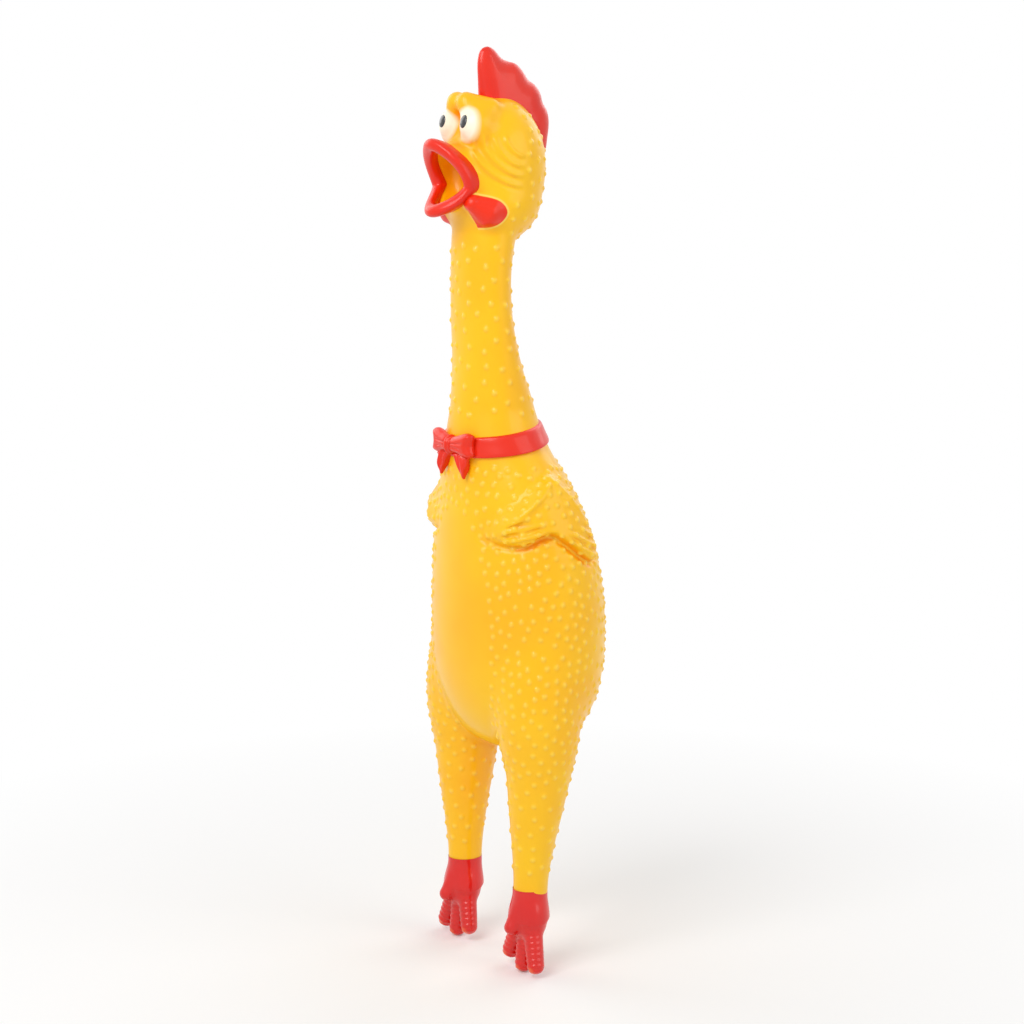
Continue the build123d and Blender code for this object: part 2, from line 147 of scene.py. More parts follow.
BODY_HALF_X, BODY_HALF_Y, _ = box_mm("torso_shell")[1]
ROUND_TOP, FULL_BOTTOM = 2.0, 2.5
TAIL_ROOT, TAIL_TIP = (0, 30.0, -12.0), (0, 35.5, -17.5)
TAIL_ROOT_R, TAIL_TIP_R = 8.0, 3.6
TAIL_MELT = 5.0


def body_distance(side, y, z):
    """The egg-shaped body, leaning forward at the top, with the tail bump behind."""
    over = z > BODY_WIDEST_Z
    power = np.where(over, ROUND_TOP, FULL_BOTTOM)
    height = np.where(over, BODY_RISE, BODY_DROP)
    lift = np.abs(z - BODY_WIDEST_Z) / height + 1e-6
    lean = (np.clip(z - BODY_WIDEST_Z, 0, LEAN_LIMIT) / LEAN_HEIGHT) ** 2
    y = y + np.where(over, BODY_LEAN * lean, 0)
    across = np.hypot(side / BODY_HALF_X, y / BODY_HALF_Y) + 1e-6
    reach = (across**power + lift**power) ** (1 / power)
    across_slope = np.hypot(side / BODY_HALF_X**2, y / BODY_HALF_Y**2) / across
    lift_slope = (lift / reach) ** (power - 1) / height
    slope = np.hypot((across / reach) ** (power - 1) * across_slope, lift_slope)
    body = (reach - 1) / (slope + 1e-6)
    tail = round_cone((side, y, z), TAIL_ROOT, TAIL_TIP, TAIL_ROOT_R, TAIL_TIP_R)
    return join(body, tail, TAIL_MELT)


def neck_distance(side, y, z):
    """The long neck, an upright tube that thickens towards the body."""
    half_x, half_y = curve(z, NECK_LEVELS, NECK_HALF_X), curve(z, NECK_LEVELS, NECK_HALF_Y)
    tube = stem(side, y - curve(z, NECK_LEVELS, NECK_Y), half_x, half_y)
    return np.maximum(tube, np.maximum(NECK_LEVELS[0] - z, z - NECK_LEVELS[-1]))


SHIN_TOP_Z, SHIN_FADE = -18.0, 24.0
THIGH, THIGH_RADII = (29.0, -8.0, -27.0), (17.6, 18.6, 36.0)
THIGH_MELT = 5.0


def leg_distance(side, y, z):
    """A leg: a plump thigh that runs down into a thin shin."""
    half_x, half_y = curve(z, LEG_LEVELS, LEG_HALF_X), curve(z, LEG_LEVELS, LEG_HALF_Y)
    shin = stem(side - curve(z, LEG_LEVELS, LEG_X), y - curve(z, LEG_LEVELS, LEG_Y), half_x, half_y)
    shin = meet(np.maximum(shin, LEG_LEVELS[0] - z), z - SHIN_TOP_Z, SHIN_FADE)
    thigh = oval((side, y, z), THIGH, THIGH_RADII)
    return join(shin, thigh, THIGH_MELT)


# The head: skull, cheeks, the muzzle that carries the beak, brow knobs, eye bulges and
# the lobes of the wattles, with the open mouth scooped out of them.
BEAK_Z = 200.0
BEAK_HALF_X, BEAK_UP = 14.5, 15.5
BEAK_TIP_Y = box_mm("beak_upper")[0][1]
CORNER_Z, CORNER_BACK, CORNER_POWER = 196.0, 10.4, 1.3
SKULL, SKULL_TOP_RADII, SKULL_LOW_RADII = (0, -11, 205), (21.2, 21, 29), (21.2, 21, 33)
CHEEKS, CHEEK_RADII = (0, -14, 188), (20.0, 18.6, 14.0)
MUZZLE_HALF_X, MUZZLE_HALF_Z = BEAK_HALF_X - 0.7, BEAK_UP - 0.8
MUZZLE_BEHIND_LIP, MUZZLE_BACK_Y = 4.6, -12.0
MOUTH_HALF_X, MOUTH_HALF_Z = BEAK_HALF_X - 3.6, BEAK_UP - 3.6
MOUTH_DEEP_Y = -24.0
EYE, EYE_R, EYE_FLAT = (8.2, -24.6, 221.5), 8.6, 1.2
BROW_FRONT, BROW_BACK = (3.8, -28.0, 231.2), (8.8, -19.5, 229.5)
BROW_FRONT_R, BROW_BACK_R, BROW_PART = 4.4, 3.4, 1.2
WATTLE_FRONT, WATTLE_BACK = (13.0, -30.6, 189.4), (14.4, -24.4, 185.6)
WATTLE_FRONT_R, WATTLE_BACK_R = 3.6, 6.0


def beak_front(z):
    """How far forward the beak's rim reaches: tips forward, corners set back."""
    over = (z - CORNER_Z) / (BEAK_Z + BEAK_UP - CORNER_Z)
    under = (CORNER_Z - z) / (CORNER_Z - BEAK_Z + BEAK_UP)
    off = np.clip(np.maximum(over, under), 0, 1) ** CORNER_POWER
    return BEAK_TIP_Y + CORNER_BACK * (1 - off)


def head_distance(side, y, z):
    """The head with its mouth open; each last number is how wide a form melts into the rest."""
    p = (side, y, z)
    skull = np.where(z > SKULL[2], oval(p, SKULL, SKULL_TOP_RADII), oval(p, SKULL, SKULL_LOW_RADII))
    head = join(skull, oval(p, CHEEKS, CHEEK_RADII), 6.0)
    muzzle = stem(side, z - BEAK_Z, MUZZLE_HALF_X, MUZZLE_HALF_Z)
    muzzle = meet(muzzle, beak_front(z) + MUZZLE_BEHIND_LIP - y, 2.0)
    muzzle = np.maximum(muzzle, y - MUZZLE_BACK_Y)
    head = join(head, muzzle, 4.0)
    head = join(head, oval(p, EYE, (EYE_R - EYE_FLAT, EYE_R, EYE_R)), 3.0)
    apart = (np.hypot(side, BROW_PART), y, z)
    head = join(head, round_cone(apart, BROW_FRONT, BROW_BACK, BROW_FRONT_R, BROW_BACK_R), 5.0)
    head = join(head, round_cone(p, WATTLE_FRONT, WATTLE_BACK, WATTLE_FRONT_R, WATTLE_BACK_R), 3.0)
    mouth = stem(side, z - BEAK_Z, MOUTH_HALF_X, MOUTH_HALF_Z)
    mouth = meet(mouth, y - MOUTH_DEEP_Y, 6.0)
    return meet(head, -mouth, 1.6)


# Relief cut in the mould: folded wings on the sides and rows of feathers on the cheeks.
# A wing is an outline in y and z that stands proud of the body, with ridges along its tips.
WING_PROUD, WING_CREASE, WING_RIDGE = 3.0, 1.1, 1.3
WING_OUTLINE = [
    (-29.5, 50), (-27, 58), (-19, 67), (-11, 74), (-4, 76.5), (4, 70), (10, 59), (15, 47),
    (15.5, 40), (11, 37), (4, 41), (-3, 46.5), (-9, 50.5), (-14, 49.5), (-19.5, 46.2), (-26, 46),
]
WING_BONE_Y, WING_BONE_Z, WING_BONE_FALL = -6, 74, 0.95
REAR_FEATHER_GAP, FRONT_FEATHER_GAP, WING_FEATHER = 4.2, 4.0, 0.6


def rounded(profile, steps):
    """A closed smooth curve through a few points."""
    profile = np.array(profile, float)
    count = len(profile)
    out = []
    for i in range(count):
        a, b, c, d = (profile[(i + k) % count] for k in (-1, 0, 1, 2))
        squared, cubed = 2 * a - 5 * b + 4 * c - d, 3 * b - a - 3 * c + d
        for t in np.arange(steps) / steps:
            out.append(0.5 * (2 * b + (c - a) * t + squared * t**2 + cubed * t**3))
    return np.array(out)


def outline_distance(u, v, corners):
    """Distance to a closed outline in a plane, below zero inside it."""
    least = np.full(np.shape(u), 1e9)
    inside = np.zeros(np.shape(u), bool)
    for (u0, v0), (u1, v1) in zip(corners, np.roll(corners, -1, axis=0)):
        du, dv = u1 - u0, v1 - v0
        t = np.clip(((u - u0) * du + (v - v0) * dv) / (du * du + dv * dv), 0, 1)
        least = np.minimum(least, np.hypot(u - u0 - t * du, v - v0 - t * dv))
        crosses = (v0 > v) != (v1 > v)
        inside ^= crosses & (u < u0 + (v - v0) * du / (dv if dv else 1e-9))
    return np.where(inside, -least, least)


WING_EDGE = rounded(WING_OUTLINE, 3)


def bump(value, width):
    """A rounded ridge, 1 high where the value is 0."""
    return np.exp(-((value / width) ** 2))


def wing_relief(side, y, z):
    """How far a wing stands proud: fading out at its top, with a crease under its lower edge."""
    edge = outline_distance(y, z, WING_EDGE)
    lift = WING_PROUD * ramp(-edge, -0.5, 2.0 + 4.0 * ramp(z, 54, 68))
    under = -WING_CREASE * bump(edge - 1.0, 1.4) * ramp(-z, -58, -48)
    tips = ramp(-edge, 0.6, 2.4) * ramp(edge, -10, -4)
    rear = WING_FEATHER * np.cos((0.5 * y + z) * 2 * math.pi / REAR_FEATHER_GAP)
    rear = rear * ramp(y, -4, 1) * ramp(-z, -56, -50)
    front = WING_FEATHER * np.cos((z - 0.3 * y) * 2 * math.pi / FRONT_FEATHER_GAP)
    front = front * ramp(-y, 12, 16) * ramp(-z, -60, -54)
    bone = z - WING_BONE_Z + WING_BONE_FALL * np.abs(y - WING_BONE_Y)
    ridge = WING_RIDGE * bump(bone, 2.4) * ramp(-edge, 0, 2)
    return (lift + under + tips * (rear + front) + ridge) * ramp(side, 12, 20)


CHEEK_FAN, CHEEK_FAN_RADII = (-9.0, 217.0), (8.2, 12.4, 16.4, 20.6)
FEATHER_RIDGE, FEATHER_GROOVE, FEATHER_WIDTH, GROOVE_OUT = 0.6, 0.35, 0.8, 1.7


def feather_relief(side, y, z):
    """Arcs of feathers round the back of the cheek, each a ridge with a groove behind it."""
    along, up = (y - CHEEK_FAN[0]) * 0.95, z - CHEEK_FAN[1]
    reach, turn = np.hypot(along, up), np.degrees(np.arctan2(-up, -along))
    rows = 0
    for radius in CHEEK_FAN_RADII:
        rows = rows + FEATHER_RIDGE * bump(reach - radius, FEATHER_WIDTH)
        rows = rows - FEATHER_GROOVE * bump(reach - radius - GROOVE_OUT, FEATHER_WIDTH)
    return rows * ramp(turn, -8, 8) * ramp(-turn, -88, -70) * ramp(side, 9, 12)


WING_LOW_Z, WING_HIGH_Z, CHEEK_LOW_Z = 28, 84, 190
NECK_MELT, HIP_MELT, HEAD_MELT = 9.0, 5.0, 2.6


def skin_distance(x, y, z):
    """The whole outside of the moulding."""
    side = np.abs(x)
    skin = join(body_distance(side, y, z), neck_distance(side, y, z), NECK_MELT)
    skin = join(skin, leg_distance(side, y, z), HIP_MELT)
    skin = skin - np.where((z > WING_LOW_Z) & (z < WING_HIGH_Z), wing_relief(side, y, z), 0)
    head = head_distance(side, y, z) - np.where(z > CHEEK_LOW_Z, feather_relief(side, y, z), 0)
    return join(skin, head, HEAD_MELT)


def surface_of(distance, low, high, step):
    """Points and four-sided faces where a distance is zero, one point to each crossed cell."""
    block = 4
    low, high = np.array(low, float), np.array(high, float)
    counts = np.ceil((high - low) / (block * step)).astype(int) + 1
    middles = [low[i] + ((np.arange(counts[i]) + 0.5) * block - 0.5) * step for i in range(3)]
    coarse = distance(*np.meshgrid(*middles, indexing="ij"))

    def spread(values):
        return values.repeat(block, 0).repeat(block, 1).repeat(block, 2)

    value = spread(coarse.astype(np.float32))
    near = np.argwhere(spread(np.abs(coarse) < 1.6 * block * step))
    for start in range(0, len(near), 300000):
        part = near[start : start + 300000]
        value[tuple(part.T)] = distance(*(low[:, None] + part.T * step))
    inside = value < 0
    size = np.array(value.shape) - 1
    corners = np.array([(i, j, k) for i in (0, 1) for j in (0, 1) for k in (0, 1)])
    filled = np.zeros(size, np.uint8)
    for i, j, k in corners:
        filled += inside[i : i + size[0], j : j + size[1], k : k + size[2]]
    crossed = (filled > 0) & (filled < 8)
    cells = np.argwhere(crossed)
    number = np.full(size, -1, np.int32)
    number[crossed] = np.arange(len(cells))
    level = value[tuple((cells[:, None, :] + corners).transpose(2, 0, 1))]
    total, hits = np.zeros((len(cells), 3)), np.zeros(len(cells))
    for a in range(8):
        for b in range(a + 1, 8):
            way = corners[b] - corners[a]
            if np.abs(way).sum() == 1:
                cut = (level[:, a] < 0) != (level[:, b] < 0)
                share = level[cut, a] / (level[cut, a] - level[cut, b])
                total[cut] += corners[a] + share[:, None] * way
                hits[cut] += 1
    points = low + (cells + total / hits[:, None]) * step
    quads = []
    for axis in range(3):
        u, v = (axis + 1) % 3, (axis + 2) % 3
        first, second = [slice(None)] * 3, [slice(None)] * 3
        first[axis], second[axis] = slice(0, -1), slice(1, None)
        edge = np.argwhere(inside[tuple(first)] != inside[tuple(second)])
        edge = edge[(edge[:, u] > 0) & (edge[:, v] > 0) & (edge[:, u] < size[u]) & (edge[:, v] < size[v])]
        step_u, step_v = np.eye(3, dtype=int)[u], np.eye(3, dtype=int)[v]
        around = [edge, edge - step_u, edge - step_u - step_v, edge - step_v]
        quad = np.stack([number[tuple(c.T)] for c in around], 1)
        outward = inside[tuple(edge.T)]
        quads.append(np.where(outward[:, None], quad, quad[:, ::-1]))
    return points, np.concatenate(quads)


def slope_of(distance, points, reach=0.1):
    """Slope of a distance at points, by small steps both ways."""
    slope = np.empty_like(points)
    for axis in range(3):
        shift = np.eye(3)[axis] * reach
        ahead, behind = distance(*(points + shift).T), distance(*(points - shift).T)
        slope[:, axis] = (ahead - behind) / (2 * reach)
    return slope


def settled(distance, points, step, rounds=2):
    """The points moved on to the surface itself."""
    for _ in range(rounds):
        slope = slope_of(distance, points)
        move = -distance(*points.T)[:, None] * slope / np.maximum((slope**2).sum(1), 0.2)[:, None]
        size = np.linalg.norm(move, axis=1, keepdims=True)
        points = points + move * np.minimum(1, step / np.maximum(size, 1e-9))
    return points


def normals_of(points, quads):
    """Outward direction at each point, from the faces round it."""
    a, b, c, d = (points[quads[:, i]] for i in range(4))
    face = np.cross(c - a, d - b)
    total = np.zeros_like(points)
    for corner in range(4):
        for axis in range(3):
            total[:, axis] += np.bincount(quads[:, corner], face[:, axis], len(points))
    return total / np.maximum(np.linalg.norm(total, axis=1, keepdims=True), 1e-9)


def make_piece(name, points, faces, normals, material, values=()):
    """A mesh object from points in millimetres, with its own normals and values at each point."""
    used, faces = np.unique(faces, return_inverse=True)
    faces = faces.reshape(-1, 4)
    mesh = bpy.data.meshes.new(name)
    mesh.from_pydata((points[used] * MM).tolist(), [], faces.tolist())
    mesh.polygons.foreach_set("use_smooth", np.ones(len(faces), bool))
    for label, value in dict(values).items():
        layer = mesh.attributes.new(label, "FLOAT", "POINT")
        layer.data.foreach_set("value", value[used].astype(np.float32))
    mesh.materials.append(material)
    mesh.update()
    mesh.normals_split_custom_set_from_vertices(normals[used].tolist())
    piece = bpy.data.objects.new(name, mesh)
    bpy.context.scene.collection.objects.link(piece)
    return piece


def mottle_group():
    """Node group that mottles a vinyl's colour, as its pigment and wall thickness vary."""
    group = bpy.data.node_groups.new("vinyl_mottle", "ShaderNodeTree")
    sockets = (("Thin", "NodeSocketColor"), ("Thick", "NodeSocketColor"), ("Scale", "NodeSocketFloat"))
    for socket, kind in sockets:
        group.interface.new_socket(socket, in_out="INPUT", socket_type=kind)
    group.interface.new_socket("Color", in_out="OUTPUT", socket_type="NodeSocketColor")
    group.interface.new_socket("Roughness", in_out="OUTPUT", socket_type="NodeSocketFloat")
    nodes, links = group.nodes, group.links
    given, out = nodes.new("NodeGroupInput"), nodes.new("NodeGroupOutput")
    place, noise = nodes.new("ShaderNodeTexCoord"), nodes.new("ShaderNodeTexNoise")
    noise.inputs["Detail"].default_value = 3.0
    links.new(place.outputs["Object"], noise.inputs["Vector"])
    links.new(given.outputs["Scale"], noise.inputs["Scale"])
    spread = nodes.new("ShaderNodeMapRange")
    spread.inputs["From Min"].default_value = 0.32
    spread.inputs["From Max"].default_value = 0.68
    links.new(noise.outputs["Fac"], spread.inputs["Value"])
    mix = nodes.new("ShaderNodeMix")
    mix.data_type = "RGBA"
    links.new(spread.outputs["Result"], mix.inputs["Factor"])
    links.new(given.outputs["Thin"], mix.inputs["A"])
    links.new(given.outputs["Thick"], mix.inputs["B"])
    links.new(mix.outputs["Result"], out.inputs["Color"])
    gloss = nodes.new("ShaderNodeMapRange")
    gloss.inputs["To Min"].default_value = 0.3
    gloss.inputs["To Max"].default_value = 0.42
    links.new(noise.outputs["Fac"], gloss.inputs["Value"])
    links.new(gloss.outputs["Result"], out.inputs["Roughness"])
    return group


vinyl_mottle = mottle_group()


def colour(red, green, blue):
    """A colour given in everyday 0 to 255 steps, as the linear values a shader takes."""
    return (*(((c / 255 + 0.055) / 1.055) ** 2.4 for c in (red, green, blue)), 1.0)


def moulded(name, thin, thick, scale, coat, coat_roughness=0.12):
    """A vinyl or paint finish: mottled colour, soft gloss and a thin clear coat."""
    material = bpy.data.materials.new(name)
    material.use_nodes = True
    nodes, links = material.node_tree.nodes, material.node_tree.links
    shader = nodes["Principled BSDF"]
    mottle = nodes.new("ShaderNodeGroup")
    mottle.node_tree = vinyl_mottle
    mottle.inputs["Thin"].default_value = thin
    mottle.inputs["Thick"].default_value = thick
    mottle.inputs["Scale"].default_value = scale
    links.new(mottle.outputs["Color"], shader.inputs["Base Color"])
    links.new(mottle.outputs["Roughness"], shader.inputs["Roughness"])
    shader.inputs["Specular IOR Level"].default_value = 0.28
    shader.inputs["Coat Weight"].default_value = coat
    shader.inputs["Coat Roughness"].default_value = coat_roughness
    return material


def mixed_by(material, label, start, end, tint):
    """Lays another colour over a finish, where a value stored at each point runs from start to end."""
    nodes, links = material.node_tree.nodes, material.node_tree.links
    shader = nodes["Principled BSDF"]
    below = shader.inputs["Base Color"].links[0].from_socket
    stored = nodes.new("ShaderNodeAttribute")
    stored.attribute_name = label
    edge = nodes.new("ShaderNodeMapRange")
    edge.inputs["From Min"].default_value = start
    edge.inputs["From Max"].default_value = end
    links.new(stored.outputs["Fac"], edge.inputs["Value"])
    mix = nodes.new("ShaderNodeMix")
    mix.data_type = "RGBA"
    links.new(edge.outputs["Result"], mix.inputs["Factor"])
    links.new(below, mix.inputs["A"])
    mix.inputs["B"].default_value = tint
    links.new(mix.outputs["Result"], shader.inputs["Base Color"])


YELLOW, AMBER = colour(255, 201, 6), colour(255, 186, 2)
# Painted light: a deeper orange for the shade in the hollows, and a paler yellow for the highlight on the
# dot tops
PAINTED_SHADE, DOT_HIGHLIGHT = colour(250, 140, 8), colour(255, 222, 90)


def yellow_vinyl(name):
    """The skin's vinyl colour, with painted shade in the hollows and a painted highlight on the tops of the
    dots.
    """
    material = moulded(name, YELLOW, AMBER, 22.0, 0.22)
    # Painted shade: a deeper orange laid into the colour in the creases and hollows
    mixed_by(material, "crease_shade", 0.1, 1.1, PAINTED_SHADE)
    # Painted highlight: a paler yellow laid on the tops of the raised dots
    mixed_by(material, "dot_highlight", 0.0, 1.8, DOT_HIGHLIGHT)
    return material


skin_vinyl = yellow_vinyl("yellow_vinyl")

FINE_STEP = 0.62
SKIN_LOW, SKIN_HIGH = (-51.0, -50.0, -119.0), (51.0, 42.0, 240.0)
skin_points, skin_quads = surface_of(skin_distance, SKIN_LOW, SKIN_HIGH, FINE_STEP)
skin_points = settled(skin_distance, skin_points, FINE_STEP)
skin_normals = normals_of(skin_points, skin_quads)

# Small raised dots stand all over the sides and back, and leave the face, the front of the
# belly and the ankles smooth. They come from pits sunk one by one in the mould, so they
# keep a rough distance but follow no rows.
DOT_SEED = 11
DOT_R, DOT_HEIGHT = 1.5, 0.72
BODY_GAP, NECK_GAP, HEAD_GAP, RUMP_GAP, SHIN_GAP = 4.2, 6.0, 5.4, 5.0, 5.2


def dot_spacing(points):
    """How far apart the dots stand at each point, 0 where there are none."""
    side, y, z = np.abs(points[:, 0]), points[:, 1], points[:, 2]
    spacing = np.full(len(points), BODY_GAP)
    spacing[z > 96] = NECK_GAP
    spacing[z > 176] = HEAD_GAP
    spacing[(z < 8) & (y > 8)] = RUMP_GAP
    spacing[z < -60] = SHIN_GAP
    face = (z > 172) & (y < -17 - 0.12 * (z - 190))
    belly = (y < 0) & ((side / 24) ** 2 + ((z - 2) / 58) ** 2 < 1)
    groin = (y < -4) & (side < 16) & (z < -20)
    collar = (z > 78) & (z < 99)
    cheek = (z > 192) & (y < -8) & (side > 8)
    crown = (z > 222) & (side < 9)
    ankle = z < -100
    spacing[face | belly | groin | collar | cheek | crown | ankle] = 0
    return spacing


def raise_dots(points, spacing, seed):
    """Height of the dots' relief at each point."""
    tree = KDTree(len(points))
    for i, point in enumerate(points):
        tree.insert(point, i)
    tree.balance()
    free, height = spacing > 0, np.zeros(len(points))
    for i in np.random.default_rng(seed).permutation(len(points)):
        if free[i]:
            for _, j, away in tree.find_range(points[i], spacing[i]):
                free[j] = False
                if away < DOT_R:
                    height[j] = max(height[j], (1 - (away / DOT_R) ** 2) ** 1.5)
    return height


dots = raise_dots(skin_points, dot_spacing(skin_points), DOT_SEED)
skin_points = skin_points + skin_normals * (dots * DOT_HEIGHT)[:, None]
skin_normals = normals_of(skin_points, skin_quads)

# Paint on the head: eye whites sprayed with soft edges, and wattles sprayed through a mask,
# which leaves a crisp edge with a paler line of overspray round it.
skin_side = np.abs(skin_points[:, 0])
skin_y, skin_z = skin_points[:, 1], skin_points[:, 2]
WHITE, WHITE_RADII = (EYE[0], EYE[1] - 5.0, EYE[2] + 0.6), (6.6, 6.8, 7.4)
from_white = zip((skin_side, skin_y, skin_z), WHITE, WHITE_RADII)
eye_edge = np.sqrt(sum(((a - c) / r) ** 2 for a, c, r in from_white))
WATTLE_OUTLINE = [
    (-36.5, 189), (-34.0, 193.2), (-27.5, 192.6), (-21.2, 190.4), (-18.0, 185.8),
    (-20.2, 181.4), (-25.5, 179.4), (-31.2, 180.0), (-35.6, 184),
]
WATTLE_INNER_X, FAR_FROM_WATTLE = 10.5, 9.0
wattle_edge = outline_distance(skin_y, skin_z, rounded(WATTLE_OUTLINE, 4))
wattle_edge = np.where(skin_side > WATTLE_INNER_X, wattle_edge, FAR_FROM_WATTLE)
EYE_WHITE, WATTLE_HALO, WATTLE_RED = colour(255, 246, 222), colour(255, 214, 90), colour(240, 44, 4)
head_vinyl = yellow_vinyl("yellow_vinyl_head")
mixed_by(head_vinyl, "eye_edge", 1.1, 0.85, EYE_WHITE)
mixed_by(head_vinyl, "wattle_edge", 1.1, 0.7, WATTLE_HALO)
mixed_by(head_vinyl, "wattle_edge", 0.15, -0.1, WATTLE_RED)

# Painted shade: hollows where the skin folds are painted a deeper orange, in place of the shade and the
# light sunk into the thick wall there
HOLLOW_REACH = 5.0
clear = skin_distance(*(skin_points + skin_normals * HOLLOW_REACH).T)
crease_shade = np.clip(1 - clear / HOLLOW_REACH, 0, 1) * (1 - dots)
# Besides the paint masks, these values carry the painted shade of the hollows and the painted highlight on
# the dot tops
skin_values = {"crease_shade": crease_shade, "dot_highlight": dots, "eye_edge": eye_edge, "wattle_edge": wattle_edge}
face_middle = skin_points[skin_quads].mean(1)
face_side, face_y, face_z = np.abs(face_middle[:, 0]), face_middle[:, 1], face_middle[:, 2]

# Where the moulding flexes, the skin is cut into stretches, each a piece of its own
BELLY_START, BELLY_END, BELLY_TILT = 28.5, 33.5, math.radians(4)
BELLY_TOP_Z = 74.0
LEG_SPLAY = math.atan2(0.45, 0.89)
LEG_START, LEG_END = 52.0, 80.0
ANKLE_CUT_Z, ANKLE_START, ANKLE_END = -90.0, (0, 0, -106 * MM), (0, 0, -122 * MM)
belly_reach = -face_y * math.cos(BELLY_TILT) - face_z * math.sin(BELLY_TILT)
leg_reach = face_side * math.sin(LEG_SPLAY) - face_z * math.cos(LEG_SPLAY)
NECK_CUTS = (100.0, 132.0, 160.0, 178.0)
is_leg = leg_reach > LEG_START
is_neck = face_z > NECK_CUTS[0]
is_belly = (belly_reach > BELLY_START) & ~is_leg & ~is_neck & (face_z < BELLY_TOP_Z)


def skin_piece(name, keep, material=skin_vinyl):
    """A stretch of the moulding's skin as a piece of its own."""
    return make_piece(name, skin_points, skin_quads[keep], skin_normals, material, skin_values)


body_skin = skin_piece("body_skin", ~is_leg & ~is_neck & ~is_belly)
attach(body_skin, "torso")
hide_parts("torso_shell", "tail_knob", "wing_left", "wing_right", "neck_base")

belly_skin = skin_piece("belly_skin", is_belly)
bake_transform(belly_skin)
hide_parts("belly_panel")

NECK_BENDS = (
    ("neck_skin_low", "torso", "neck_lower", 104, 130, "neck_lower"),
    ("neck_skin_mid", "neck_lower", "neck_upper", 134, 158, "neck_upper"),
    ("neck_skin_top", "neck_upper", "head", 162, 177, "throat"),
)
for (name, below, above, start, end, stands_for), low, high in zip(NECK_BENDS, NECK_CUTS, NECK_CUTS[1:]):
    piece = skin_piece(name, (face_z > low) & (face_z <= high))
    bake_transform(piece)
    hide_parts(stands_for)

head_skin = skin_piece("head_skin", face_z > NECK_CUTS[-1], head_vinyl)
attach(head_skin, "head")
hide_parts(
    "head_shell", "mouth_lining", "eye_left", "eye_right", "brow", "wattle_left", "wattle_right"
)

for hand, sign in (("left", 1), ("right", -1)):
    own = is_leg & (face_middle[:, 0] * sign > 0)
    thigh = skin_piece(f"leg_skin_{hand}", own & (face_z > ANKLE_CUT_Z))
    way = np.array((sign * math.sin(LEG_SPLAY), 0, -math.cos(LEG_SPLAY))) * MM
    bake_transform(thigh)
    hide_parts(f"leg_{hand}")
    shin = skin_piece(f"ankle_skin_{hand}", own & (face_z <= ANKLE_CUT_Z))
    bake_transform(shin)

# ---------------------------------------------------------------- beak
# The beak is an open ring at the end of the muzzle, dipped in red paint while the mouth
# behind it stays yellow. Its lip is thick and rolled, its tips point forward.
RIM_STEPS = 112
LIP_PROFILE = [
    (-2.4, 9.0), (-0.6, 8.0), (0.2, 5.6), (0.8, 3.4), (0.9, 1.8), (0.3, 0.5), (-1.0, 0.0),
    (-2.4, 0.1), (-3.7, 0.9), (-4.4, 2.2), (-4.5, 3.8), (-3.9, 5.2), (-2.8, 6.4),
]
TIP_NARROWING = 0.22
red_paint = moulded("red_paint", colour(238, 46, 8), colour(230, 32, 4), 26.0, 0.3, 0.1)


def closed_sheet(rings):
    """Points and faces of a skin through rings of points, closed both ways."""
    rings = np.array(rings)
    around, across = rings.shape[:2]
    i, j = np.meshgrid(np.arange(around), np.arange(across), indexing="ij")
    k, m = (i + 1) % around, (j + 1) % across
    faces = np.stack([i * across + j, i * across + m, k * across + m, k * across + j], -1)
    return rings.reshape(-1, 3), faces.reshape(-1, 4)


def beak_half(start, end):
    """Rings of the rolled lip, swept round the rim between two turns."""
    lip = rounded(LIP_PROFILE, 4)
    rings = []
    for turn in np.linspace(start, end, RIM_STEPS):
        across, up = math.cos(turn), math.sin(turn)
        narrow = 1 - TIP_NARROWING * max(up, 0) ** 3
        rim = np.array((BEAK_HALF_X * across * narrow, BEAK_Z + BEAK_UP * up))
        out = np.array((across / BEAK_HALF_X, up / BEAK_UP))
        out /= np.linalg.norm(out)
        front = float(beak_front(rim[1]))
        rings.append([(rim[0] + out[0] * r, front + depth, rim[1] + out[1] * r) for r, depth in lip])
    return rings


def strip_faces(rings):
    """Points and faces of a skin through rings of points, open at the first and last ring."""
    points, faces = closed_sheet(rings)
    return points, faces[: -len(rings[0])]


for name, start, end in (("beak_upper_red", 0, math.pi), ("beak_lower_red", math.pi, 2 * math.pi)):
    points, faces = strip_faces(beak_half(start, end))
    piece = make_piece(name, points, faces[:, ::-1], -normals_of(points, faces), red_paint)
    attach(piece, "head")
    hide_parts(name.replace("_red", ""))

